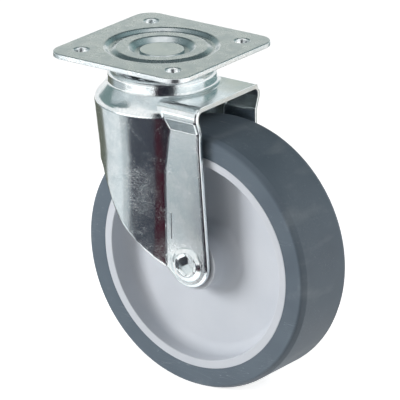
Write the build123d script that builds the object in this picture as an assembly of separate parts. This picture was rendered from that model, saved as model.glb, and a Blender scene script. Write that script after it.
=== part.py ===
from build123d import *
import math
import os

# Swivel castor on a square bolt-down plate, wheel trailing toward +X, axle along Y.
# Millimetres. The origin is the centre of the plate's top face, on the swivel axis, and +Z is up.

# Sheet steel of the plate, fork and lower race
SHEET = 2.5
SHARP = 0.3
RUNNING_GAP = 0.05

# King pin, riveted over below the lower race
PIN_SHANK_R = 6.0
PIN_HEAD_R = PIN_SHANK_R + 4.5
PIN_HEAD_H = 1.3
PIN_SHOULDER_R = PIN_SHANK_R + 2.2
RIVET_HEAD_R = PIN_SHANK_R + 3.0
RIVET_HEAD_H = 2.5
PIN_ROUND = 0.4
RIVET_ROUND = 1.2

# Top plate: a square with an embossed wave round the king pin's head
PLATE_SIDE = 77.0
PLATE_EDGE_ROUND = 0.5
BOLT_SPACING = 53.0
BOLT_HOLE_R = 3.3
BOLT_EDGE = (PLATE_SIDE - BOLT_SPACING) / 2
PLATE_CORNER = BOLT_EDGE - 3.0
RECESS_R = PIN_HEAD_R + 2.1
RECESS_Z = -3.2
CREST_INNER_R = RECESS_R + 3.0
CREST_OUTER_R = CREST_INNER_R + 5.6
CREST_Z = -0.5
VALLEY_R = CREST_OUTER_R + 3.2
VALLEY_Z = -2.1
WAVE_START_R = VALLEY_R + 2.6
WAVE_R = WAVE_START_R + 2.0
WAVE_ROUND = 1.8

# Upper ball row under the wave's crest
UPPER_BALL_R = 3.95
UPPER_PITCH_R = CREST_INNER_R + 2.7
UPPER_BALL_Z = CREST_Z - SHEET - RUNNING_GAP - UPPER_BALL_R

# Fork: a pressed cap over the balls, a round skirt in front and two legs behind
HAT_TOP_Z = UPPER_BALL_Z - 2.8
HAT_HOLE_R = PIN_SHOULDER_R + 1.6
COLLAR_R = UPPER_PITCH_R + UPPER_BALL_R + SHEET + 0.85
COLLAR_FOOT_Z = HAT_TOP_Z - 6.4
COLLAR_ROUND = 2.8
COLLAR_FOOT_ROUND = 1.8
CROWN_Z = COLLAR_FOOT_Z - 1.3
TYRE_HALF_W = 17.5
LEG_INNER_Y = TYRE_HALF_W + 3.0
LEG_OUTER_Y = LEG_INNER_Y + SHEET
CROWN_HALF_W = LEG_OUTER_Y + 2.3
CROWN_ROUND = 5.0
SKIRT_MID_R = LEG_OUTER_Y + 6.6
SKIRT_MID_DROP = 32.5
SKIRT_MID_Z = CROWN_Z - SKIRT_MID_DROP
SKIRT_MID_ROUND = 60.0
SKIRT_TOP_R = SKIRT_MID_R + 2.5
SHOULDER_H = 7.2
SKIRT_TOP_Z = COLLAR_FOOT_Z - SHOULDER_H
SKIRT_TOP_ROUND = 5.5
SKIRT_LOW_R = SKIRT_MID_R - 0.2
SKIRT_FOOT_DROP = 20.0
CROWN_SIDE_H = 7.0
STEP_TOP_Z = CROWN_Z - CROWN_SIDE_H
STEP_H = 6.0
STEP_LOW_Z = STEP_TOP_Z - STEP_H
STEP_ROUND = 3.0
CREASE_ROUND = 2.2

# Lower ball row under the fork's cap, inside the skirt
LOWER_BALL_R = 2.5
LOWER_PITCH_MARGIN = 3.7
LOWER_PITCH_R = HAT_HOLE_R + LOWER_PITCH_MARGIN
LOWER_RACE_MARGIN = 4.5
LOWER_RACE_R = LOWER_PITCH_R + LOWER_RACE_MARGIN
LOWER_LAND_DROP = 0.35

# Legs, the wheel's place and the trimmed edges of the fork
AXLE_X = 30.4
LEG_HOLE_R = 6.1
LEG_END_R = 11.5
LEG_REAR_MARGIN = 7.8
LEG_REAR_X = AXLE_X + LEG_REAR_MARGIN
LEG_REAR_STRAIGHT = 20.5
LEG_REAR_KINK_Z = CROWN_Z - LEG_REAR_STRAIGHT
LEG_REAR_ROUND = 80.0
LEG_LEAN_DEG = 3.8
LOW_EDGE_DEG = 42.0
SKIRT_KINK_X = -4.8
SKIRT_KINK_ROUND = 65.0
LIP_SLOPE = 11.1
LIP_X = LIP_SLOPE - SKIRT_MID_R
LIP_Z = SKIRT_MID_Z - 5.0
LIP_ROUND = 5.0

# Axle and wheel
TYRE_R = 62.5
TYRE_TOP_GAP = 12.5
AXLE_Z = CROWN_Z - SHEET - TYRE_TOP_GAP - TYRE_R
TYRE_SIDE_R = TYRE_R - 1.5
TYRE_TREAD_HALF_W = TYRE_HALF_W - 3.0
TYRE_SHOULDER_ROUND = 1.6
RIM_R = TYRE_R - 10.2
RIM_INNER_R = RIM_R - 4.0
RIM_GROOVE_R = RIM_R - 2.7
WEB_RIM_HALF_T = 5.5
RIM_GROOVE_LOW_HALF_W = WEB_RIM_HALF_T
RIM_GROOVE_TOP_HALF_W = RIM_GROOVE_LOW_HALF_W + 2.5
WEB_HUB_HALF_T = WEB_RIM_HALF_T + 1.0
DISH_ROUND = 5.5
HUB_FLARE_ROUND = 7.0
HUB_HALF_W = LEG_INNER_Y - 1.0
HUB_EDGE_ROUND = 0.5

# Deep-groove ball bearings of the hub
BEARING_R = 12.0
BEARING_BORE_R = 6.0
BEARING_W = 6.0
BEARING_CENTRE_Y = LEG_INNER_Y - 1.5 - BEARING_W / 2
BEARING_STOP_R = BEARING_R - 2.0
HUB_R = BEARING_R + 1.6
RACE_OUTER_R = 10.3
RACE_INNER_R = 7.7
HUB_BALL_R = 1.5875
HUB_PITCH_R = 9.0
HUB_BALL_COUNT = 10
CAGE_HALF_T = 0.6
CAGE_W = 4.0
POCKET_R = 1.66
SHIELD_T = 0.3
SHIELD_INSET = 0.1
SHIELD_BORE_R = 8.0

# Axle sleeve from the near side, screw from the far side
SLEEVE_R = 5.98
SLEEVE_END_GAP = 0.5
SLEEVE_BORE_R = 4.0
SLEEVE_BORE_L = 30.0
SLEEVE_SOCKET_AF = 8.0
SLEEVE_SOCKET_DEPTH = 4.0
HEAD_R = 8.2
HEAD_FACE_R = 6.3
SLEEVE_HEAD_RIM_H = 0.5
SLEEVE_HEAD_H = 1.4
SCREW_SHANK_L = 20.0
SCREW_SOCKET_AF = 5.0
SCREW_SOCKET_DEPTH = 2.2
SCREW_HEAD_RIM_H = 1.6
SCREW_HEAD_H = 3.0
COLLAR_SLEEVE_R = 8.0
TUBE_R = 7.5

ABOVE = 5.0
BEYOND = 45.0
BELOW = AXLE_Z - SKIRT_FOOT_DROP


def unit(start, end):
    """Direction of a straight piece between two points of a plane."""
    length = math.dist(start, end)
    return (end[0] - start[0]) / length, (end[1] - start[1]) / length


def shifted(points, gap):
    """Corners of an open line moved sideways by gap, to the right of its way."""
    ways = [unit(a, b) for a, b in zip(points, points[1:])]
    sides = [(dy, -dx) for dx, dy in ways]
    before = [sides[0]] + sides
    after = sides + [sides[-1]]
    moved = []
    for (x, y), (ax, ay), (bx, by) in zip(points, before, after):
        scale = gap / (1 + ax * bx + ay * by)
        moved.append((x + scale * (ax + bx), y + scale * (ay + by)))
    return moved


def shifted_radii(points, radii, gap):
    """Corner roundings that belong to the line moved sideways by gap."""
    ways = [unit(a, b) for a, b in zip(points, points[1:])]
    result = []
    for (ax, ay), (bx, by), radius in zip(ways, ways[1:], radii):
        left_turn = ax * by - ay * bx > 0
        grown = radius + gap if left_turn else radius - gap
        result.append(max(grown, SHARP))
    return result


def rounded_line(points, radii):
    """Open line with a rounding at each inner corner."""
    return FilletPolyline(*points, radius=radii)


def closed_face(line, *corners):
    """Face between an open line and the straight way back through the corners."""
    way_back = Polyline(line @ 1, *corners, line @ 0)
    return make_face(line.edges() + way_back.edges())


def sheet_section(points, radii, thickness):
    """Section of bent sheet: its upper line, and the same line moved down by the thickness."""
    top = rounded_line(points, radii)
    low = rounded_line(shifted(points, thickness), shifted_radii(points, radii, thickness))
    ends = [Line(top @ 1, low @ 1), Line(top @ 0, low @ 0)]
    return make_face(top.edges() + low.edges() + [end.edge() for end in ends])


def turned(points):
    """Solid turned about the swivel axis from corners given as radius and height."""
    return revolve(Plane.XZ * make_face(Polyline(*points, close=True)), Axis.Z)


def turned_on_axle(face):
    """Solid turned about the wheel's axis from a face drawn as width and radius."""
    standing = Plane(origin=(0, 0, 0), x_dir=(0, 1, 0), z_dir=(1, 0, 0)) * face
    return Pos(AXLE_X, 0, AXLE_Z) * revolve(standing, Axis.Y)


def axle_ring(inner_r, outer_r, start_y, end_y):
    """Plain ring on the wheel's axis."""
    corners = [(start_y, inner_r), (end_y, inner_r), (end_y, outer_r), (start_y, outer_r)]
    return turned_on_axle(make_face(Polyline(*corners, close=True)))


def mirrored_side(shape):
    """The same shape on the other side of the castor's middle plane."""
    return mirror(shape, Plane.XZ)


def ball_row(ball_r, pitch_r, height):
    """Balls of one row of the swivel head, as many as its pitch circle takes."""
    count = int(math.pi / math.asin((ball_r + RUNNING_GAP) / pitch_r))
    places = PolarLocations(pitch_r, count)
    return [Pos(0, 0, height) * place * Sphere(ball_r) for place in places]


def make_top_plate():
    blank = RectangleRounded(PLATE_SIDE, PLATE_SIDE, PLATE_CORNER) - Circle(WAVE_R)
    flat = extrude(blank, -SHEET)
    wave_line = [
        (PIN_SHANK_R, RECESS_Z),
        (RECESS_R, RECESS_Z),
        (CREST_INNER_R, CREST_Z),
        (CREST_OUTER_R, CREST_Z),
        (VALLEY_R, VALLEY_Z),
        (WAVE_START_R, 0),
        (WAVE_R, 0),
    ]
    section = sheet_section(wave_line, [WAVE_ROUND] * 5, SHEET)
    plate = flat + revolve(Plane.XZ * section, Axis.Z)
    for place in GridLocations(BOLT_SPACING, BOLT_SPACING, 2, 2):
        plate -= place * Cylinder(BOLT_HOLE_R, 4 * SHEET)
    rim = [edge for edge in plate.edges() if on_plate_rim(edge)]
    return fillet(rim, PLATE_EDGE_ROUND)


def on_plate_rim(edge):
    """True for the outer edge of the plate's top and bottom faces."""
    centre = edge.center()
    level = abs(centre.Z) < SHARP / 10 or abs(centre.Z + SHEET) < SHARP / 10
    flat = edge.bounding_box().size.Z < SHARP / 10
    return level and flat and max(abs(centre.X), abs(centre.Y)) > PLATE_SIDE / 2 - PLATE_CORNER / 2


def make_king_pin():
    seat_z = RECESS_Z
    shoulder_z = RECESS_Z - SHEET
    race_z = lower_land_z()
    rivet_z = race_z - SHEET
    pin = turned([
        (0, seat_z + PIN_HEAD_H),
        (PIN_HEAD_R, seat_z + PIN_HEAD_H),
        (PIN_HEAD_R, seat_z),
        (PIN_SHANK_R, seat_z),
        (PIN_SHANK_R, shoulder_z),
        (PIN_SHOULDER_R, shoulder_z),
        (PIN_SHOULDER_R, race_z),
        (PIN_SHANK_R, race_z),
        (PIN_SHANK_R, rivet_z),
        (RIVET_HEAD_R, rivet_z),
        (RIVET_HEAD_R, rivet_z - RIVET_HEAD_H),
        (0, rivet_z - RIVET_HEAD_H),
    ])
    rings = pin.edges().filter_by(GeomType.CIRCLE).sort_by(Axis.Z)
    pin = fillet(rings[0], RIVET_ROUND)
    rings = pin.edges().filter_by(GeomType.CIRCLE).sort_by(Axis.Z)
    return fillet(rings[-1], PIN_ROUND)


def lower_ball_z():
    """Height of the lower row: its balls run on the flat underside of the fork's cap."""
    return HAT_TOP_Z - SHEET - RUNNING_GAP - LOWER_BALL_R


def lower_land_z():
    """Top face of the lower race, a little under the middle of its balls."""
    return lower_ball_z() - LOWER_LAND_DROP


def make_lower_race():
    land_z = lower_land_z()
    flat = turned([
        (PIN_SHANK_R, land_z),
        (LOWER_PITCH_R, land_z),
        (LOWER_PITCH_R, land_z - SHEET),
        (PIN_SHANK_R, land_z - SHEET),
    ])
    groove_r = LOWER_BALL_R + RUNNING_GAP
    centre = Pos(0, 0, lower_ball_z())
    bulge = centre * Torus(LOWER_PITCH_R, groove_r + SHEET)
    depth = 2 * (groove_r + SHEET)
    bulge &= Pos(0, 0, land_z - depth / 2) * Cylinder(LOWER_RACE_R, depth)
    return flat + bulge - centre * Torus(LOWER_PITCH_R, groove_r)


def fork_form(inset):
    """Filled form of the fork's outside, or of its inside at one sheet thickness within."""
    cup_line = [
        (0, HAT_TOP_Z),
        (COLLAR_R, HAT_TOP_Z),
        (COLLAR_R, COLLAR_FOOT_Z),
        (SKIRT_TOP_R, SKIRT_TOP_Z),
        (SKIRT_MID_R, SKIRT_MID_Z),
        (SKIRT_LOW_R, BELOW),
    ]
    cup_radii = [COLLAR_ROUND, COLLAR_FOOT_ROUND, SKIRT_TOP_ROUND, SKIRT_MID_ROUND]
    cup = inset_line(cup_line, cup_radii, inset)
    cup = revolve(Plane.XZ * closed_face(cup, (0, (cup @ 1).Y)), Axis.Z)

    bridge_line = [
        (0, CROWN_Z),
        (CROWN_HALF_W, CROWN_Z),
        (CROWN_HALF_W, STEP_TOP_Z),
        (LEG_OUTER_Y, STEP_LOW_Z),
        (LEG_OUTER_Y, BELOW),
    ]
    bridge = inset_line(bridge_line, [CROWN_ROUND, STEP_ROUND, STEP_ROUND], inset)
    side = extrude(Plane.YZ * closed_face(bridge, (0, (bridge @ 1).Y)), BEYOND)

    form = soft_creases(cup + side + mirrored_side(side), CREASE_ROUND + inset)
    return form - Pos(0, 0, UPPER_BALL_Z) * Torus(UPPER_PITCH_R, UPPER_BALL_R + RUNNING_GAP + inset)


def soft_creases(form, radius):
    """Round the curved edges where the round skirt meets the legs and the crown's shoulders."""
    straight_or_round = (GeomType.LINE, GeomType.CIRCLE)
    creases = [edge for edge in form.edges() if edge.geom_type not in straight_or_round]
    return fillet(creases, radius)


def inset_line(points, radii, inset):
    """Rounded line, moved inwards where an inset is given."""
    if inset:
        return rounded_line(shifted(points, inset), shifted_radii(points, radii, inset))
    return rounded_line(points, radii)


def on_circle(radius, degrees):
    """Point on a circle about the axle, seen from the near side."""
    angle = math.radians(degrees)
    return AXLE_X + radius * math.cos(angle), AXLE_Z + radius * math.sin(angle)


def fork_side_outline():
    """Trimmed edge of the fork seen from the side: lip, slanting skirt, leg end, rear edge."""
    rear_deg = LEG_LEAN_DEG
    low_deg = -90 - LOW_EDGE_DEG
    half_turn = math.radians((rear_deg - low_deg) / 2)
    end_corner = on_circle(LEG_END_R / math.cos(half_turn), (rear_deg + low_deg) / 2)
    tangent_x, tangent_z = on_circle(LEG_END_R, low_deg)
    kink_z = tangent_z + (tangent_x - SKIRT_KINK_X) * math.tan(math.radians(LOW_EDGE_DEG))
    corners = [
        (-BEYOND, ABOVE),
        (LEG_REAR_X, ABOVE),
        (LEG_REAR_X, LEG_REAR_KINK_Z),
        end_corner,
        (SKIRT_KINK_X, kink_z),
        (LIP_X, LIP_Z),
        (-BEYOND, LIP_Z),
    ]
    radii = [0, 0, LEG_REAR_ROUND, LEG_END_R, SKIRT_KINK_ROUND, LIP_ROUND, 0]
    return make_face(FilletPolyline(*corners, radius=radii, close=True))


def make_fork():
    shell = fork_form(0) - fork_form(SHEET)
    shell -= Cylinder(HAT_HOLE_R, 4 * SKIRT_TOP_R)
    shell &= extrude(Plane.XZ * fork_side_outline(), BEYOND, both=True)
    hole = Pos(AXLE_X, 0, AXLE_Z) * Rot(90, 0, 0) * Cylinder(LEG_HOLE_R, 2 * BEYOND)
    return shell - hole


def make_wheel_centre():
    """Moulded centre: rim ring with a keying groove, dished web, hub with two bearing seats."""
    web_line = [
        (HUB_HALF_W, BEARING_R),
        (HUB_HALF_W, HUB_R),
        (WEB_HUB_HALF_T, HUB_R),
        (WEB_RIM_HALF_T, RIM_INNER_R),
        (TYRE_HALF_W, RIM_INNER_R),
    ]
    web = rounded_line(web_line, [HUB_EDGE_ROUND, HUB_FLARE_ROUND, DISH_ROUND])
    stop_y = BEARING_CENTRE_Y - BEARING_W / 2
    rim_corners = keying_corners()
    way_back = rim_corners + [(0, BEARING_STOP_R), (stop_y, BEARING_STOP_R), (stop_y, BEARING_R)]
    half = closed_face(web, *way_back)
    return turned_on_axle(half + mirror(half, Plane.YZ))


def keying_corners():
    """Half of the joint line between rim and tyre, from the near face to the middle."""
    return [
        (TYRE_HALF_W, RIM_R),
        (RIM_GROOVE_TOP_HALF_W, RIM_R),
        (RIM_GROOVE_LOW_HALF_W, RIM_GROOVE_R),
        (0, RIM_GROOVE_R),
    ]


def make_tyre():
    """Moulded tyre with flat sides and small round shoulders, keyed into the rim's groove."""
    outside = rounded_line(
        [(TYRE_HALF_W, RIM_R), (TYRE_HALF_W, TYRE_SIDE_R), (TYRE_TREAD_HALF_W, TYRE_R), (0, TYRE_R)],
        [TYRE_SHOULDER_ROUND, TYRE_SHOULDER_ROUND],
    )
    half = closed_face(outside, *reversed(keying_corners()[1:]))
    return turned_on_axle(half + mirror(half, Plane.YZ))


def bearing_rings(side):
    """Outer and inner ring of one hub bearing, each with its ball groove."""
    middle = side * BEARING_CENTRE_Y
    start_y = middle - BEARING_W / 2
    end_y = middle + BEARING_W / 2
    groove = Pos(AXLE_X, middle, AXLE_Z) * Rot(90, 0, 0)
    groove *= Torus(HUB_PITCH_R, HUB_BALL_R + RUNNING_GAP)
    outer = axle_ring(RACE_OUTER_R, BEARING_R, start_y, end_y) - groove
    inner = axle_ring(BEARING_BORE_R, RACE_INNER_R, start_y, end_y) - groove
    return outer, inner


def hub_ball_places(side):
    """Places of one hub bearing's balls, each with its X way pointing out from the axle."""
    centre = Pos(AXLE_X, side * BEARING_CENTRE_Y, AXLE_Z) * Rot(90, 0, 0)
    return [centre * place for place in PolarLocations(HUB_PITCH_R, HUB_BALL_COUNT)]


def make_hub_balls(side):
    return [place * Sphere(HUB_BALL_R) for place in hub_ball_places(side)]


def make_cage(side):
    """Ring with a pocket for each ball."""
    middle = side * BEARING_CENTRE_Y
    inner_r = HUB_PITCH_R - CAGE_HALF_T
    outer_r = HUB_PITCH_R + CAGE_HALF_T
    cage = axle_ring(inner_r, outer_r, middle - CAGE_W / 2, middle + CAGE_W / 2)
    for place in hub_ball_places(side):
        cage -= place * Rot(0, 90, 0) * Cylinder(POCKET_R, 4 * CAGE_HALF_T)
    return cage


def make_shields(side):
    """Thin discs that close both faces of one hub bearing."""
    middle = side * BEARING_CENTRE_Y
    reach = BEARING_W / 2 - SHIELD_INSET
    near = axle_ring(SHIELD_BORE_R, RACE_OUTER_R, middle - reach, middle - reach + SHIELD_T)
    far = axle_ring(SHIELD_BORE_R, RACE_OUTER_R, middle + reach - SHIELD_T, middle + reach)
    return [near, far]


def hex_socket(across_flats, depth, face_y, inward):
    """Hexagonal recess cut into a head from its face."""
    outline = RegularPolygon(across_flats / 2, 6, major_radius=False)
    standing = Plane(origin=(AXLE_X, face_y, AXLE_Z), x_dir=(1, 0, 0), z_dir=(0, inward, 0))
    return extrude(standing * outline, depth)


def make_axle_sleeve():
    """Hollow axle with a low head, pushed through both legs from the near side."""
    face_y = -LEG_OUTER_Y - SLEEVE_HEAD_H
    end_y = LEG_OUTER_Y - SLEEVE_END_GAP
    line = Polyline(
        (face_y, 0),
        (face_y, HEAD_FACE_R),
        (-LEG_OUTER_Y - SLEEVE_HEAD_RIM_H, HEAD_R),
        (-LEG_OUTER_Y, HEAD_R),
        (-LEG_OUTER_Y, SLEEVE_R),
        (end_y, SLEEVE_R),
        (end_y, SLEEVE_BORE_R),
        (end_y - SLEEVE_BORE_L, SLEEVE_BORE_R),
        (end_y - SLEEVE_BORE_L, 0),
        close=True,
    )
    return turned_on_axle(make_face(line)) - hex_socket(SLEEVE_SOCKET_AF, SLEEVE_SOCKET_DEPTH, face_y, 1)


def make_axle_screw():
    """Screw that closes the axle from the far side, its thread left plain."""
    face_y = LEG_OUTER_Y + SCREW_HEAD_H
    line = Polyline(
        (face_y, 0),
        (face_y, HEAD_FACE_R),
        (LEG_OUTER_Y + SCREW_HEAD_RIM_H, HEAD_R),
        (LEG_OUTER_Y, HEAD_R),
        (LEG_OUTER_Y, SLEEVE_BORE_R),
        (LEG_OUTER_Y - SCREW_SHANK_L, SLEEVE_BORE_R),
        (LEG_OUTER_Y - SCREW_SHANK_L, 0),
        close=True,
    )
    return turned_on_axle(make_face(line)) - hex_socket(SCREW_SOCKET_AF, SCREW_SOCKET_DEPTH, face_y, -1)


def make_end_collar(side):
    """Spacing collar between an inner ring and the leg beside it."""
    ring_y = BEARING_CENTRE_Y + BEARING_W / 2
    start_y, end_y = sorted([side * ring_y, side * LEG_INNER_Y])
    return axle_ring(BEARING_BORE_R, COLLAR_SLEEVE_R, start_y, end_y)


def make_spacer_tube():
    reach = BEARING_CENTRE_Y - BEARING_W / 2
    return axle_ring(BEARING_BORE_R, TUBE_R, -reach, reach)


def all_parts():
    """Each node's name with its solid, or with its list of like solids."""
    parts = {
        "top_plate": make_top_plate(),
        "king_pin": make_king_pin(),
        "lower_race": make_lower_race(),
        "upper_balls": ball_row(UPPER_BALL_R, UPPER_PITCH_R, UPPER_BALL_Z),
        "lower_balls": ball_row(LOWER_BALL_R, LOWER_PITCH_R, lower_ball_z()),
        "fork": make_fork(),
        "wheel_centre": make_wheel_centre(),
        "tyre": make_tyre(),
        "spacer_tube": make_spacer_tube(),
        "axle_sleeve": make_axle_sleeve(),
        "axle_screw": make_axle_screw(),
    }
    for name, side in (("near", -1), ("far", 1)):
        outer, inner = bearing_rings(side)
        parts[name + "_outer_ring"] = outer
        parts[name + "_inner_ring"] = inner
        parts[name + "_bearing_balls"] = make_hub_balls(side)
        parts[name + "_cage"] = make_cage(side)
        parts[name + "_shields"] = make_shields(side)
        parts[name + "_collar"] = make_end_collar(side)
    return parts


os.makedirs("parts", exist_ok=True)
for node, shape in all_parts().items():
    if isinstance(shape, list):
        shape = Compound(shape)
    export_step(shape, f"parts/{node}.step")
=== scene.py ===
import bmesh
import bpy
import math
from mathutils import Matrix, Vector


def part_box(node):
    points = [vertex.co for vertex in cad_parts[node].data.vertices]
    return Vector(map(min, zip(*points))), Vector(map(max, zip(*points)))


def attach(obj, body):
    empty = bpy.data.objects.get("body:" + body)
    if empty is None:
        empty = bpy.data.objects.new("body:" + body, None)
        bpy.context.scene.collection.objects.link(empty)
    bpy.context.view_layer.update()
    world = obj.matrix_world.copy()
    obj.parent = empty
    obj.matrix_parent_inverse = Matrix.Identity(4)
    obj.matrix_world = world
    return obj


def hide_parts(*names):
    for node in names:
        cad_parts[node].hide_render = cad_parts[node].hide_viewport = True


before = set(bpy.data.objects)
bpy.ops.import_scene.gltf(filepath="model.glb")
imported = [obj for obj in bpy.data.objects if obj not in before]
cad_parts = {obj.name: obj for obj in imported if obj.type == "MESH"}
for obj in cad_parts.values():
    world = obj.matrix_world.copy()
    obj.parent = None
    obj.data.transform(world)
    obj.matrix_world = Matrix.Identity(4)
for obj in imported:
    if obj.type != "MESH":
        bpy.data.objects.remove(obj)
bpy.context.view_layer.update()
scene = bpy.context.scene

MM = 0.001
FULL_TURN = 2 * math.pi

# Bodies of the castor
MOUNT = "mount"
FORK = "swivel_fork"
WHEEL = "wheel"

# Camera of the photograph, aimed by its angles and standing well back
CAMERA_AZIMUTH = math.radians(37.1154)
CAMERA_ELEVATION = math.radians(19.9247)
CAMERA_ROLL = math.radians(-0.70727)
CAMERA_PLACE = (1.236408, -1.606158, 0.658142)
CAMERA_LENS = 414.18
SENSOR_WIDTH = 36.0

# Sizes taken from the solids
plate_low, plate_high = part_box("top_plate")
tyre_low, tyre_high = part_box("tyre")
centre_low, centre_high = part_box("wheel_centre")
fork_low, fork_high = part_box("fork")

AXLE = Vector(((tyre_low[0] + tyre_high[0]) / 2, 0, (tyre_low[2] + tyre_high[2]) / 2))
AXLE_WAY = Vector((0, 1, 0))
SWIVEL = Vector((0, 0, 0))
SWIVEL_WAY = Vector((0, 0, 1))
FLOOR_Z = tyre_low[2]
TYRE_R = (tyre_high[0] - tyre_low[0]) / 2
TYRE_HALF_W = tyre_high[1]
RIM_R = (centre_high[0] - centre_low[0]) / 2
HUB_HALF_W = centre_high[1]


def linear(red, green, blue):
    """Colour as seen on a screen, 0 to 255, turned into the shader's own scale."""
    scaled = [value / 255 for value in (red, green, blue)]
    curved = [v / 12.92 if v <= 0.04045 else ((v + 0.055) / 1.055) ** 2.4 for v in scaled]
    return (*curved, 1.0)


# Node helpers

def new_group(name, inputs, outputs):
    """Empty shader group with named value inputs and outputs."""
    tree = bpy.data.node_groups.new(name, "ShaderNodeTree")
    for label, kind, value in inputs:
        socket = tree.interface.new_socket(label, in_out="INPUT", socket_type=kind)
        if value is not None:
            socket.default_value = value
    for label, kind in outputs:
        tree.interface.new_socket(label, in_out="OUTPUT", socket_type=kind)
    return tree, tree.nodes.new("NodeGroupInput"), tree.nodes.new("NodeGroupOutput")


def node(tree, kind, **settings):
    """New node; settings named in_X go to the input socket X, the others to the node."""
    made = tree.nodes.new(kind)
    for key, value in settings.items():
        if key.startswith("in_"):
            made.inputs[key[3:].replace("_", " ")].default_value = value
        else:
            setattr(made, key, value)
    return made


def math_node(tree, operation, first, second=None, clamp=False):
    """Arithmetic on sockets or plain numbers."""
    made = tree.nodes.new("ShaderNodeMath")
    made.operation = operation
    made.use_clamp = clamp
    for socket, value in zip(made.inputs, (first, second)):
        if isinstance(value, (int, float)):
            socket.default_value = value
        elif value is not None:
            tree.links.new(value, socket)
    return made.outputs[0]


def band(tree, value, low, high):
    """Value stretched so that low becomes 0 and high becomes 1, held between them."""
    made = node(tree, "ShaderNodeMapRange")
    made.clamp = True
    tree.links.new(value, made.inputs["Value"])
    made.inputs["From Min"].default_value = low
    made.inputs["From Max"].default_value = high
    return made.outputs["Result"]


def mix_colour(tree, share, first, second):
    made = node(tree, "ShaderNodeMix", data_type="RGBA")
    sockets = [made.inputs[0], made.inputs[6], made.inputs[7]]
    for socket, value in zip(sockets, (share, first, second)):
        if isinstance(value, bpy.types.NodeSocket):
            tree.links.new(value, socket)
        else:
            socket.default_value = value
    return made.outputs[2]


def stretched_noise(tree, place, stretch, turn, scale, detail=2.0):
    """Noise on object coordinates, stretched and turned."""
    mapping = node(tree, "ShaderNodeMapping")
    mapping.inputs["Scale"].default_value = stretch
    mapping.inputs["Rotation"].default_value = turn
    noise = node(tree, "ShaderNodeTexNoise", in_Scale=scale, in_Detail=detail)
    tree.links.new(place, mapping.inputs["Vector"])
    tree.links.new(mapping.outputs["Vector"], noise.inputs["Vector"])
    return noise.outputs["Fac"]


def make_grain_group():
    """Fine orange-peel grain with larger clouds, as plated sheet or moulded skin has."""
    tree, inside, outside = new_group(
        "surface_grain",
        [("Grain per metre", "NodeSocketFloat", 900.0), ("Clouds per metre", "NodeSocketFloat", 90.0)],
        [("Grain", "NodeSocketFloat"), ("Clouds", "NodeSocketFloat")],
    )
    place = node(tree, "ShaderNodeTexCoord").outputs["Object"]
    for label, detail in (("Grain", 3.0), ("Clouds", 4.0)):
        noise = node(tree, "ShaderNodeTexNoise", in_Detail=detail)
        tree.links.new(place, noise.inputs["Vector"])
        tree.links.new(inside.outputs[label + " per metre"], noise.inputs["Scale"])
        tree.links.new(noise.outputs["Fac"], outside.inputs[label])
    return tree


def make_scratch_group():
    """Thin, scattered scratches in three directions, broken up by patches."""
    tree, inside, outside = new_group(
        "handling_scratches",
        [("Amount", "NodeSocketFloat", 0.5), ("Size", "NodeSocketFloat", 1.0)],
        [("Scratches", "NodeSocketFloat")],
    )
    place = node(tree, "ShaderNodeTexCoord").outputs["Object"]
    scaled = node(tree, "ShaderNodeVectorMath", operation="SCALE")
    tree.links.new(place, scaled.inputs[0])
    tree.links.new(inside.outputs["Size"], scaled.inputs["Scale"])
    total = None
    for index, turn in enumerate(((0.3, 0.5, 0.2), (0.9, -0.4, 1.3), (-0.7, 0.8, 2.4))):
        lines = stretched_noise(tree, scaled.outputs[0], (1.0, 14.0, 14.0), turn, 110.0, 0.0)
        patches = stretched_noise(tree, scaled.outputs[0], (1.0, 1.0, 1.0), turn, 60.0 + 20 * index, 1.0)
        thin = band(tree, math_node(tree, "ABSOLUTE", math_node(tree, "SUBTRACT", lines, 0.5)), 0.008, 0.0)
        rare = band(tree, patches, 0.56, 0.62)
        one = math_node(tree, "MULTIPLY", thin, rare)
        total = one if total is None else math_node(tree, "MAXIMUM", total, one)
    result = math_node(tree, "MULTIPLY", total, inside.outputs["Amount"], clamp=True)
    tree.links.new(result, outside.inputs["Scratches"])
    return tree


GRAIN = make_grain_group()
SCRATCHES = make_scratch_group()


def place_group(tree, group, **values):
    made = tree.nodes.new("ShaderNodeGroup")
    made.node_tree = group
    for label, value in values.items():
        made.inputs[label.replace("_", " ")].default_value = value
    return made


def bumped(tree, height, strength, distance, after=None):
    """Bump node; distance is the real height of the relief."""
    made = node(tree, "ShaderNodeBump", in_Strength=strength, in_Distance=distance)
    tree.links.new(height, made.inputs["Height"])
    if after is not None:
        tree.links.new(after, made.inputs["Normal"])
    return made.outputs["Normal"]


def new_material(name, **settings):
    """Material with one principled shader, whose plain sockets are given by name."""
    material = bpy.data.materials.new(name)
    material.use_nodes = True
    tree = material.node_tree
    shader = tree.nodes["Principled BSDF"]
    for label, value in settings.items():
        shader.inputs[label.replace("_", " ")].default_value = value
    return material, tree, shader


# Finishes

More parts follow.
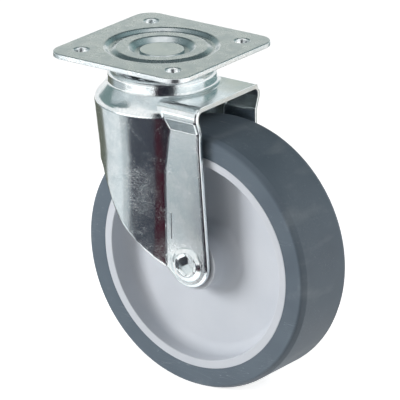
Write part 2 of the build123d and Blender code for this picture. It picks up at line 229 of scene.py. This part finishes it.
def make_zinc(name, light, dark, rough_low, rough_high, grain_height, scratch_amount):
    """Bright zinc plating on pressed steel: cool, cloudy, finely pitted and lightly scratched."""
    material, tree, shader = new_material(name, Metallic=1.0)
    grain = place_group(tree, GRAIN, Grain_per_metre=1100.0, Clouds_per_metre=140.0)
    fine = place_group(tree, GRAIN, Grain_per_metre=2100.0, Clouds_per_metre=500.0)
    marks = place_group(tree, SCRATCHES, Amount=scratch_amount, Size=1.0)
    clouds = band(tree, grain.outputs["Clouds"], 0.35, 0.65)
    speckle = band(tree, grain.outputs["Grain"], 0.3, 0.7)
    mottled = math_node(tree, "ADD", math_node(tree, "MULTIPLY", clouds, 0.55),
                        math_node(tree, "MULTIPLY", speckle, 0.45))
    colour = mix_colour(tree, mottled, dark, light)
    tree.links.new(colour, shader.inputs["Base Color"])
    rough = band(tree, mottled, 0.0, 1.0)
    rough = math_node(tree, "MULTIPLY", rough, rough_low - rough_high)
    rough = math_node(tree, "ADD", rough, rough_high)
    rough = math_node(tree, "ADD", rough, math_node(tree, "MULTIPLY", marks.outputs["Scratches"], 0.25))
    pits = band(tree, fine.outputs["Grain"], 0.60, 0.70)
    rough = math_node(tree, "ADD", rough, math_node(tree, "MULTIPLY", pits, 0.10))
    tree.links.new(rough, shader.inputs["Roughness"])
    normal = bumped(tree, grain.outputs["Grain"], 1.0, grain_height)
    normal = bumped(tree, marks.outputs["Scratches"], 0.6, -0.00003, after=normal)
    tree.links.new(normal, shader.inputs["Normal"])
    return material


def make_bright_steel(name, colour, roughness):
    """Plain ground or drawn steel of the hidden parts."""
    material, tree, shader = new_material(name, Metallic=1.0)
    grain = place_group(tree, GRAIN, Grain_per_metre=1500.0, Clouds_per_metre=300.0)
    darker = tuple(0.85 * value for value in colour[:3]) + (1.0,)
    tree.links.new(mix_colour(tree, grain.outputs["Clouds"], darker, colour), shader.inputs["Base Color"])
    rough = math_node(tree, "ADD", math_node(tree, "MULTIPLY", grain.outputs["Grain"], 0.1), roughness)
    tree.links.new(rough, shader.inputs["Roughness"])
    return material


def make_polypropylene():
    """Light grey moulded plastic with a faint skin texture."""
    material, tree, shader = new_material("grey_polypropylene")
    shader.inputs["IOR"].default_value = 1.49
    grain = place_group(tree, GRAIN, Grain_per_metre=1600.0, Clouds_per_metre=35.0)
    marks = place_group(tree, SCRATCHES, Amount=0.25, Size=0.8)
    clouds = band(tree, grain.outputs["Clouds"], 0.3, 0.7)
    tone = mix_colour(tree, clouds, linear(200, 205, 212), linear(209, 213, 219))
    tone = mix_colour(tree, math_node(tree, "MULTIPLY", marks.outputs["Scratches"], 0.3), tone,
                      linear(226, 227, 229))
    tree.links.new(tone, shader.inputs["Base Color"])
    rough = math_node(tree, "ADD", math_node(tree, "MULTIPLY", clouds, 0.08), 0.42)
    tree.links.new(rough, shader.inputs["Roughness"])
    tree.links.new(bumped(tree, grain.outputs["Grain"], 0.5, 0.00001), shader.inputs["Normal"])
    return material


def make_tyre_finish():
    """Blue-grey elastomer: matt, slightly cloudy, with pale rubbed streaks and fine dust."""
    material, tree, shader = new_material("blue_grey_elastomer")
    grain = place_group(tree, GRAIN, Grain_per_metre=1300.0, Clouds_per_metre=45.0)
    marks = place_group(tree, SCRATCHES, Amount=1.0, Size=0.45)
    place = node(tree, "ShaderNodeTexCoord").outputs["Object"]
    rubs = stretched_noise(tree, place, (1.0, 0.35, 1.0), (0.0, 0.0, 0.0), 85.0, 5.0)
    rubs = band(tree, rubs, 0.56, 0.74)
    clouds = band(tree, grain.outputs["Clouds"], 0.3, 0.7)
    tone = mix_colour(tree, clouds, linear(86, 98, 109), linear(98, 110, 120))
    tone = mix_colour(tree, math_node(tree, "MULTIPLY", rubs, 0.5), tone, linear(130, 139, 144))
    tone = mix_colour(tree, math_node(tree, "MULTIPLY", marks.outputs["Scratches"], 0.6), tone,
                      linear(150, 158, 162))
    tree.links.new(tone, shader.inputs["Base Color"])
    rough = math_node(tree, "ADD", math_node(tree, "MULTIPLY", clouds, 0.12), 0.5)
    tree.links.new(rough, shader.inputs["Roughness"])
    normal = bumped(tree, grain.outputs["Grain"], 0.6, 0.00002)
    tree.links.new(normal, shader.inputs["Normal"])
    return material


ZINC_LIGHT = linear(246, 249, 249)
ZINC_DARK = linear(218, 228, 231)
fork_zinc = make_zinc("fork_zinc", ZINC_LIGHT, ZINC_DARK, 0.13, 0.22, 0.000022, 0.55)
plate_zinc = make_zinc("plate_zinc", ZINC_LIGHT, ZINC_DARK, 0.24, 0.33, 0.000010, 0.5)
axle_zinc = make_zinc("axle_zinc", ZINC_LIGHT, ZINC_DARK, 0.14, 0.24, 0.000006, 0.4)
ball_steel = make_bright_steel("bearing_steel", linear(205, 208, 212), 0.12)
sheet_steel = make_bright_steel("bright_sheet_steel", linear(200, 202, 205), 0.25)
polypropylene = make_polypropylene()
tyre_finish = make_tyre_finish()


# Shape helpers

def section_edges(mesh, corners, rounds, segments, to_space, closed=True):
    """Outline of a turned or pressed piece, its corners rounded by bevelling the vertices."""
    verts = [mesh.verts.new(to_space(*corner)) for corner in corners]
    pairs = list(zip(verts, verts[1:]))
    if closed:
        pairs.append((verts[-1], verts[0]))
    for first, second in pairs:
        mesh.edges.new((first, second))
    for vert, radius in zip(verts, rounds):
        if radius:
            round_corner(mesh, vert, radius, segments)


def round_corner(mesh, vert, radius, segments):
    """Round one corner of an outline to the radius."""
    ways = [(edge.other_vert(vert).co - vert.co).normalized() for edge in vert.link_edges]
    half_corner = ways[0].angle(ways[1]) / 2
    bmesh.ops.bevel(mesh, geom=[vert], offset=radius * MM / math.tan(half_corner), offset_type="OFFSET",
                    segments=segments, profile=0.5, affect="VERTICES", material=-1)


def turned(corners, rounds, centre, way, to_space, segments=6, steps=192):
    """Piece turned about an axis from a closed outline."""
    mesh = bmesh.new()
    section_edges(mesh, corners, rounds, segments, to_space)
    bmesh.ops.spin(mesh, geom=mesh.verts[:] + mesh.edges[:], cent=centre, axis=way, angle=FULL_TURN,
                   steps=steps, use_merge=True, use_duplicate=False)
    bmesh.ops.remove_doubles(mesh, verts=mesh.verts[:], dist=MM / 1000)
    bmesh.ops.recalc_face_normals(mesh, faces=mesh.faces[:])
    return mesh


def beside_axle(width, radius):
    """Point of a wheel section, given by its place along the axle and its radius, both in mm."""
    return AXLE + Vector((0, width * MM, radius * MM))


def finish_piece(name, mesh, body, material, replaced, sharp=math.radians(32)):
    """Turn a built mesh into a piece that rides on a body."""
    data = bpy.data.meshes.new(name)
    mesh.to_mesh(data)
    mesh.free()
    data.shade_smooth()
    data.set_sharp_from_angle(angle=sharp)
    data.materials.append(material)
    piece = bpy.data.objects.new(name, data)
    scene.collection.objects.link(piece)
    weighted = piece.modifiers.new("even_shading", "WEIGHTED_NORMAL")
    weighted.keep_sharp = True
    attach(piece, body)
    if replaced:
        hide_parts(*replaced)
    return piece


# Tyre

SIDE_R = 61.0
TREAD_HALF_W = 14.5
SHOULDER_ROUND = 1.6


def make_tyre():
    half_w = TYRE_HALF_W / MM
    outer_r = TYRE_R / MM
    rim_r = RIM_R / MM
    near_side = [
        (-5.5, rim_r - 2.7),
        (-8.0, rim_r),
        (-half_w, rim_r),
        (-half_w, SIDE_R),
        (-TREAD_HALF_W, outer_r),
    ]
    near_rounds = [0, 0, 0.2, SHOULDER_ROUND, SHOULDER_ROUND]
    far_side = [(-width, radius) for width, radius in reversed(near_side)]
    corners = near_side + far_side
    rounds = near_rounds + near_rounds[::-1]
    mesh = turned(corners, rounds, AXLE, AXLE_WAY, beside_axle, segments=5, steps=240)
    finish_piece("soft_tyre", mesh, WHEEL, tyre_finish, ["tyre"])


# Wheel centre

RIM_INNER_R = 48.3
WEB_RIM_HALF_T = 5.5
WEB_HUB_HALF_T = 6.5
HUB_R = 13.6
BEARING_R = 12.0
BEARING_STOP_R = 10.0
BEARING_STOP_W = 13.0
BEARING_FACE_W = 19.05
LIP_R = 10.8


def make_wheel_centre():
    half_w = TYRE_HALF_W / MM
    hub_w = HUB_HALF_W / MM
    rim_r = RIM_R / MM
    near_side = [
        (-BEARING_STOP_W, BEARING_STOP_R),
        (-BEARING_STOP_W, BEARING_R),
        (-BEARING_FACE_W, BEARING_R),
        (-BEARING_FACE_W, LIP_R),
        (-hub_w, LIP_R),
        (-hub_w, HUB_R),
        (-WEB_HUB_HALF_T, HUB_R),
        (-WEB_RIM_HALF_T, RIM_INNER_R),
        (-half_w, RIM_INNER_R),
        (-half_w, rim_r),
        (-8.0, rim_r),
        (-5.5, rim_r - 2.7),
    ]
    near_rounds = [0, 0, 0, 0, 0.15, 0.5, 7.0, 5.5, 0.5, 0.2, 0, 0]
    far_side = [(-width, radius) for width, radius in reversed(near_side)]
    corners = near_side + far_side
    rounds = near_rounds + near_rounds[::-1]
    mesh = turned(corners, rounds, AXLE, AXLE_WAY, beside_axle, segments=8, steps=240)
    finish_piece("moulded_centre", mesh, WHEEL, polypropylene, ["wheel_centre"])


# Pressed and turned metal: the solids' own shapes with their sharp edges broken

HOLE_ROUND = 0.9
BOLT_SPACING = 53.0
BOLT_HOLE_R = 3.3


def merged_copy(source):
    """Joined-up copy of a solid's faces, its flat areas made whole."""
    mesh = bmesh.new()
    mesh.from_mesh(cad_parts[source].data)
    bmesh.ops.remove_doubles(mesh, verts=mesh.verts[:], dist=MM / 500)
    bmesh.ops.dissolve_limit(mesh, angle_limit=math.radians(0.4), verts=mesh.verts[:], edges=mesh.edges[:])
    bmesh.ops.recalc_face_normals(mesh, faces=mesh.faces[:])
    return mesh


def break_edges(mesh, least_angle, width, segments, wanted=None):
    """Round the sharp edges of a mesh that pass a test."""
    sharp = []
    for edge in mesh.edges:
        if not edge.is_manifold or edge.calc_face_angle(0.0) < least_angle:
            continue
        if wanted is None or wanted(edge):
            sharp.append(edge)
    bmesh.ops.bevel(mesh, geom=sharp, offset=width * MM, offset_type="OFFSET", segments=segments,
                    profile=0.5, affect="EDGES", clamp_overlap=False, material=-1)


def on_bolt_hole_top(edge):
    """True for the upper rim of a bolt hole."""
    middle = (edge.verts[0].co + edge.verts[1].co) / 2
    aside = Vector((abs(middle.x) - BOLT_SPACING / 2 * MM, abs(middle.y) - BOLT_SPACING / 2 * MM, 0))
    return abs(middle.z) < MM / 10 and aside.length < 1.2 * BOLT_HOLE_R * MM


def make_top_plate():
    mesh = merged_copy("top_plate")
    break_edges(mesh, math.radians(40), HOLE_ROUND, 4, on_bolt_hole_top)
    finish_piece("pressed_plate", mesh, MOUNT, plate_zinc, ["top_plate"])


ROLLED_EDGE = 1.6
SHEARED_EDGE = 0.25
CROWN_Z = -17.5
AXLE_HOLE_CLEAR_R = 8.0


def on_cut_edge(edge):
    """True along the fork's trimmed outline, where one face lies along the die's travel."""
    middle = (edge.verts[0].co + edge.verts[1].co) / 2
    beside = Vector((middle.x, 0, middle.z)) - AXLE
    cut = any(abs(face.normal.y) < 0.02 for face in edge.link_faces)
    return cut and middle.z < (CROWN_Z + 0.1) * MM and beside.length > AXLE_HOLE_CLEAR_R * MM


def on_outer_cut_edge(edge):
    """True for the outer one of the two edges that a cut leaves, which the die rolled over."""
    outward = (edge.verts[0].co + edge.verts[1].co) / 2
    outward.z = 0
    outward.normalize()
    skin = [face for face in edge.link_faces if abs(face.normal.y) >= 0.02]
    return on_cut_edge(edge) and any(face.normal.dot(outward) > 0.3 for face in skin)


def make_fork():
    mesh = merged_copy("fork")
    break_edges(mesh, math.radians(50), ROLLED_EDGE, 4, on_outer_cut_edge)
    break_edges(mesh, math.radians(60), SHEARED_EDGE, 2, on_cut_edge)
    finish_piece("pressed_fork", mesh, FORK, fork_zinc, ["fork"])


PRESS_LINE_X = 21.4
PRESS_LINE_LOW_Z = -84.5
PRESS_LINE_HIGH_Z = -71.0
PRESS_LINE_W = 0.9
PRESS_LINE_PROUD = 0.3
LEG_OUTER_Y = TYRE_HALF_W / MM + 5.5


def make_press_line():
    """Short raised line that the press left on each leg, near its front edge."""
    mesh = bmesh.new()
    for side in (-1, 1):
        made = bmesh.ops.create_cube(mesh, size=1.0)
        height = PRESS_LINE_HIGH_Z - PRESS_LINE_LOW_Z
        bmesh.ops.scale(mesh, verts=made["verts"],
                        vec=(PRESS_LINE_W * MM, 2 * PRESS_LINE_PROUD * MM, height * MM))
        bmesh.ops.translate(mesh, verts=made["verts"], vec=(
            PRESS_LINE_X * MM, side * LEG_OUTER_Y * MM, (PRESS_LINE_HIGH_Z + PRESS_LINE_LOW_Z) / 2 * MM))
    bmesh.ops.bevel(mesh, geom=mesh.edges[:], offset=0.25 * MM, offset_type="OFFSET", segments=3,
                    profile=0.5, affect="EDGES", clamp_overlap=True, material=-1)
    finish_piece("leg_press_line", mesh, FORK, fork_zinc, None, sharp=math.radians(60))


HEAD_R = 8.2
HEAD_FACE_R = 6.3
SLEEVE_R = 5.98
SCREW_R = 4.0
SOCKET_CHAMFER = 0.5
HEAD_STEPS = 96


def make_shank(name, source, side, end_y):
    """The axle's sleeve or screw without its head."""
    mesh = merged_copy(source)
    bmesh.ops.bisect_plane(mesh, geom=mesh.verts[:] + mesh.edges[:] + mesh.faces[:], dist=MM / 1000,
                           plane_co=(0, side * end_y * MM, 0), plane_no=(0, side, 0), clear_outer=True)
    bmesh.ops.holes_fill(mesh, edges=[edge for edge in mesh.edges if edge.is_boundary])
    bmesh.ops.recalc_face_normals(mesh, faces=mesh.faces[:])
    finish_piece(name, mesh, FORK, axle_zinc, [source])


def make_head(name, side, shank_r, end_y, edge_h, face_h, socket_w, socket_depth):
    """Round head with a cone, a flat face and a six-sided socket."""
    face_y = LEG_OUTER_Y + face_h
    corners = [
        (side * end_y, 0),
        (side * end_y, shank_r),
        (side * LEG_OUTER_Y, shank_r),
        (side * LEG_OUTER_Y, HEAD_R),
        (side * (LEG_OUTER_Y + edge_h), HEAD_R),
        (side * face_y, HEAD_FACE_R),
        (side * face_y, socket_w / math.sqrt(3) + SOCKET_CHAMFER),
    ]
    mesh = bmesh.new()
    section_edges(mesh, corners, [0, 0, 0, 0, 0.5, 0.9, 0], 4, beside_axle, closed=False)
    bmesh.ops.spin(mesh, geom=mesh.verts[:] + mesh.edges[:], cent=AXLE, axis=AXLE_WAY, angle=FULL_TURN,
                   steps=HEAD_STEPS, use_merge=True, use_duplicate=False)
    bmesh.ops.remove_doubles(mesh, verts=mesh.verts[:], dist=MM / 1000)
    rim = [edge for edge in mesh.edges if edge.is_boundary]
    six_sided = bmesh.ops.create_circle(mesh, segments=6, radius=socket_w / math.sqrt(3) * MM)["verts"]
    sides = list({edge for vert in six_sided for edge in vert.link_edges})
    cut = bmesh.ops.subdivide_edges(mesh, edges=sides, cuts=HEAD_STEPS // 6 - 1)
    socket = [edge for edge in cut["geom_inner"] + cut["geom_split"] if isinstance(edge, bmesh.types.BMEdge)]
    socket = list(set(socket))
    verts = list({vert for edge in socket for vert in edge.verts})
    bmesh.ops.rotate(mesh, verts=verts, cent=(0, 0, 0), matrix=Matrix.Rotation(math.radians(90), 3, "X"))
    bmesh.ops.translate(mesh, verts=verts, vec=AXLE + Vector((0, side * (face_y - SOCKET_CHAMFER) * MM, 0)))
    bmesh.ops.bridge_loops(mesh, edges=rim + socket)
    deep = bmesh.ops.extrude_edge_only(mesh, edges=socket)["geom"]
    floor_verts = [part for part in deep if isinstance(part, bmesh.types.BMVert)]
    bmesh.ops.translate(mesh, verts=floor_verts,
                        vec=(0, -side * (socket_depth - SOCKET_CHAMFER) * MM, 0))
    bmesh.ops.holes_fill(mesh, edges=[edge for edge in mesh.edges if edge.is_boundary])
    bmesh.ops.recalc_face_normals(mesh, faces=mesh.faces[:])
    finish_piece(name, mesh, FORK, axle_zinc, None)


def make_axle_heads():
    sleeve_end_y = LEG_OUTER_Y - 3.1
    screw_end_y = LEG_OUTER_Y - 0.5
    make_shank("axle_sleeve_shank", "axle_sleeve", -1, sleeve_end_y)
    make_shank("axle_screw_shank", "axle_screw", 1, screw_end_y)
    make_head("axle_sleeve_head", -1, SLEEVE_R, sleeve_end_y, 0.5, 1.4, 8.0, 4.0)
    make_head("axle_screw_head", 1, SCREW_R, screw_end_y, 1.6, 3.0, 5.0, 2.2)


def finish_plain_nodes():
    """Finishes of the solids that are shown as they are."""
    finishes = {
        "bearing_steel": (ball_steel, ["upper_balls", "lower_balls", "near_outer_ring", "far_outer_ring",
                                       "near_inner_ring", "far_inner_ring", "near_bearing_balls",
                                       "far_bearing_balls"]),
        "bright_sheet_steel": (sheet_steel, ["near_cage", "far_cage", "near_shields", "far_shields"]),
        "zinc_plated_steel": (axle_zinc, ["king_pin", "lower_race", "near_collar", "far_collar",
                                          "spacer_tube"]),
    }
    for material, names in finishes.values():
        for name in names:
            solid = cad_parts[name]
            if not solid.material_slots:
                solid.data.materials.append(None)
            for place in solid.material_slots:
                place.link = "OBJECT"
                place.material = material


# Camera, light and floor

def make_camera():
    right = Vector((math.cos(CAMERA_AZIMUTH), math.sin(CAMERA_AZIMUTH), 0))
    back = Vector((
        math.sin(CAMERA_AZIMUTH) * math.cos(CAMERA_ELEVATION),
        -math.cos(CAMERA_AZIMUTH) * math.cos(CAMERA_ELEVATION),
        math.sin(CAMERA_ELEVATION),
    ))
    up = back.cross(right)
    rolled_right = math.cos(CAMERA_ROLL) * right + math.sin(CAMERA_ROLL) * up
    rolled_up = math.cos(CAMERA_ROLL) * up - math.sin(CAMERA_ROLL) * right
    lens = bpy.data.cameras.new("photo_camera")
    lens.lens = CAMERA_LENS
    lens.sensor_width = SENSOR_WIDTH
    lens.clip_end = 20.0
    camera = bpy.data.objects.new("photo_camera", lens)
    turn = Matrix((rolled_right, rolled_up, back)).transposed().to_4x4()
    camera.matrix_world = Matrix.Translation(CAMERA_PLACE) @ turn
    scene.collection.objects.link(camera)
    scene.camera = camera


# Studio: white surroundings, dark cards near the object, soft overhead light

FLOOR_REACH = 6.0
CARD_R = 0.30
CAMERA_SIDE = CAMERA_AZIMUTH - math.pi / 2


def shows_background(tree):
    """1 for the rays that see the surroundings: from the camera, off gloss and through clear pieces."""
    path = node(tree, "ShaderNodeLightPath")
    both = math_node(tree, "MAXIMUM", path.outputs["Is Camera Ray"], path.outputs["Is Glossy Ray"])
    return math_node(tree, "MAXIMUM", both, path.outputs["Is Transmission Ray"])


def make_world():
    world = bpy.data.worlds.new("white_studio")
    world.use_nodes = True
    tree = world.node_tree
    tree.nodes.clear()
    seen = node(tree, "ShaderNodeBackground", in_Color=(1, 1, 1, 1), in_Strength=1.0)
    lit = node(tree, "ShaderNodeBackground", in_Color=(1, 1, 1, 1), in_Strength=0.04)
    mixed = node(tree, "ShaderNodeMixShader")
    output = node(tree, "ShaderNodeOutputWorld")
    tree.links.new(shows_background(tree), mixed.inputs[0])
    tree.links.new(lit.outputs[0], mixed.inputs[1])
    tree.links.new(seen.outputs[0], mixed.inputs[2])
    tree.links.new(mixed.outputs[0], output.inputs["Surface"])
    scene.world = world


def make_floor():
    material = bpy.data.materials.new("white_floor")
    material.use_nodes = True
    tree = material.node_tree
    tree.nodes.clear()
    matt = node(tree, "ShaderNodeBsdfDiffuse", in_Color=(0.8, 0.8, 0.8, 1))
    glow = node(tree, "ShaderNodeEmission", in_Color=(1, 1, 1, 1))
    both = node(tree, "ShaderNodeAddShader")
    output = node(tree, "ShaderNodeOutputMaterial")
    tree.links.new(math_node(tree, "MULTIPLY", shows_background(tree), 0.8), glow.inputs["Strength"])
    tree.links.new(matt.outputs[0], both.inputs[0])
    tree.links.new(glow.outputs[0], both.inputs[1])
    tree.links.new(both.outputs[0], output.inputs["Surface"])
    mesh = bmesh.new()
    bmesh.ops.create_grid(mesh, x_segments=1, y_segments=1, size=FLOOR_REACH)
    bmesh.ops.translate(mesh, verts=mesh.verts[:], vec=(0, 0, FLOOR_Z))
    data = bpy.data.meshes.new("floor")
    mesh.to_mesh(data)
    mesh.free()
    data.materials.append(material)
    floor = bpy.data.objects.new("floor", data)
    scene.collection.objects.link(floor)


def emission(name, colour, strength=1.0):
    """Self-lit finish of a studio card."""
    material = bpy.data.materials.new(name)
    material.use_nodes = True
    tree = material.node_tree
    tree.nodes.clear()
    glow = node(tree, "ShaderNodeEmission", in_Color=colour, in_Strength=strength)
    output = node(tree, "ShaderNodeOutputMaterial")
    tree.links.new(glow.outputs[0], output.inputs["Surface"])
    return material


def make_card(name, sector, line, colour, strength=1.0):
    """Card turned through a sector about the swivel axis, seen only in reflections.

    The sector is given in degrees from the camera's side, the line as radius and height in metres.
    """
    start, end = (math.radians(angle) for angle in sector)
    way = Vector((math.cos(CAMERA_SIDE + start), math.sin(CAMERA_SIDE + start), 0))
    mesh = bmesh.new()
    verts = [mesh.verts.new(radius * way + Vector((0, 0, height))) for radius, height in line]
    for first, second in zip(verts, verts[1:]):
        mesh.edges.new((first, second))
    bmesh.ops.spin(mesh, geom=mesh.verts[:] + mesh.edges[:], cent=SWIVEL, axis=SWIVEL_WAY,
                   angle=end - start, steps=max(3, round(math.degrees(end - start) / 4)),
                   use_merge=False, use_duplicate=False)
    data = bpy.data.meshes.new(name)
    mesh.to_mesh(data)
    mesh.free()
    data.materials.append(emission(name, colour, strength))
    card = bpy.data.objects.new(name, data)
    scene.collection.objects.link(card)
    card.visible_camera = False
    card.visible_diffuse = False
    card.visible_transmission = False
    card.visible_shadow = False


def arc_line(radius, low_deg, high_deg):
    """Line of a domed card between two elevations."""
    steps = 8
    angles = [math.radians(low_deg + (high_deg - low_deg) * step / steps) for step in range(steps + 1)]
    return [(radius * math.cos(angle), radius * math.sin(angle)) for angle in angles]


def make_cards():
    """Reflected surroundings: dark mats and cards low in front, a pale back wall, a dark ring above it, and
    a grey patch of painted shade on the floor beside the castor.
    """
    mat_z = FLOOR_Z + 0.001
    strip_z = FLOOR_Z + 0.002
    near, far = 0.135, 0.43
    make_card("front_mat", (-16, 27), [(near, mat_z), (1.6, mat_z)], (0.020, 0.022, 0.030, 1))
    make_card("front_wall", (-16, 27), arc_line(1.6, -5, 34), (0.020, 0.022, 0.030, 1))
    make_card("red_strip", (-14, -4), [(near, strip_z), (far, strip_z)], (0.055, 0.012, 0.022, 1))
    make_card("right_mat", (27, 42), [(0.09, mat_z), (0.36, mat_z)], (0.06, 0.08, 0.11, 1))
    make_card("left_mat", (-60, -16), [(near, mat_z), (far, mat_z)], (0.046, 0.052, 0.070, 1))
    make_card("left_mat_edge", (-64, -60), [(0.19, mat_z), (far, mat_z)], (0.20, 0.22, 0.24, 1))
    make_card("side_mat", (-76, -64), [(0.19, mat_z), (far, mat_z)], (0.50, 0.54, 0.56, 1))
    make_card("far_side_mat", (-120, -76), [(0.19, mat_z), (far, mat_z)], (0.80, 0.84, 0.86, 1))
    # Painted shade: a grey patch on the floor right beside the castor, seen only in reflections, stands in
    # for the castor's own shade there.
    make_card("painted_floor_shade", (-94, -66), [(0.07, mat_z), (0.145, mat_z)], (0.24, 0.28, 0.30, 1))
    make_card("collar_mat", (-130, -81), [(far, mat_z), (0.9, mat_z)], (0.36, 0.41, 0.43, 1))
    make_card("plate_side_mat", (-80, -62), [(0.44, mat_z), (0.55, mat_z)], (0.66, 0.69, 0.69, 1))
    make_card("cut_face_mat", (96, 122), [(0.05, mat_z), (0.6, mat_z)], (0.66, 0.64, 0.60, 1))
    make_card("head_mat", (-150, -100), [(0.14, strip_z), (0.215, strip_z)], (0.16, 0.17, 0.17, 1))
    make_card("rear_left_mat", (-160, -120), [(0.05, mat_z), (0.6, mat_z)], (0.15, 0.16, 0.13, 1))
    make_card("rear_right_mat", (122, 156), [(0.05, mat_z), (0.6, mat_z)], (0.11, 0.19, 0.19, 1))
    make_card("back_wall", (160, 200), arc_line(1.5, 14, 29), (0.48, 0.53, 0.49, 1))
    make_card("right_wall", (96, 160), arc_line(1.5, 10, 29), (0.20, 0.31, 0.31, 1))
    make_card("right_glow", (34, 96), arc_line(1.5, 8, 29), (1.15, 1.15, 1.15, 1))
    make_card("left_wall", (200, 270), arc_line(1.5, 10, 29), (0.20, 0.28, 0.28, 1))
    make_card("dark_ring", (130, 230), arc_line(1.5, 29, 86), (0.05, 0.075, 0.08, 1))
    make_card("right_ring", (80, 130), arc_line(1.5, 29, 86), (0.20, 0.29, 0.30, 1))
    make_card("left_ring", (230, 280), arc_line(1.5, 29, 86), (0.17, 0.23, 0.24, 1))


def make_lamp(name, place, size, power, aim):
    lamp = bpy.data.lights.new(name, "AREA")
    lamp.shape = "RECTANGLE"
    lamp.size, lamp.size_y = size
    lamp.energy = power
    holder = bpy.data.objects.new(name, lamp)
    turn = (Vector(place) - aim).to_track_quat("Z", "Y").to_matrix().to_4x4()
    holder.matrix_world = Matrix.Translation(place) @ turn
    holder.visible_glossy = False
    scene.collection.objects.link(holder)


def studio_place(angle_deg, elevation_deg, distance):
    """Place round the object, by its angle from the camera's side and its height angle."""
    angle = CAMERA_SIDE + math.radians(angle_deg)
    elevation = math.radians(elevation_deg)
    return Vector((
        distance * math.cos(elevation) * math.cos(angle),
        distance * math.cos(elevation) * math.sin(angle),
        distance * math.sin(elevation),
    ))


def make_lamps():
    middle = Vector((0.02, 0, -0.08))
    make_lamp("side_softbox", studio_place(-72, 18, 1.1) + middle, (0.45, 0.5), 9.8, middle)
    make_lamp("front_softbox", studio_place(-45, 22, 1.1) + middle, (0.5, 0.5), 1.6, middle)
    make_lamp("right_softbox", studio_place(82, 32, 1.1) + middle, (0.5, 0.5), 6.0, middle)


make_camera()
make_world()
make_floor()
make_cards()
make_lamps()
make_top_plate()
make_fork()
make_press_line()
make_axle_heads()
make_tyre()
make_wheel_centre()
finish_plain_nodes()

scene.view_settings.view_transform = "Standard"
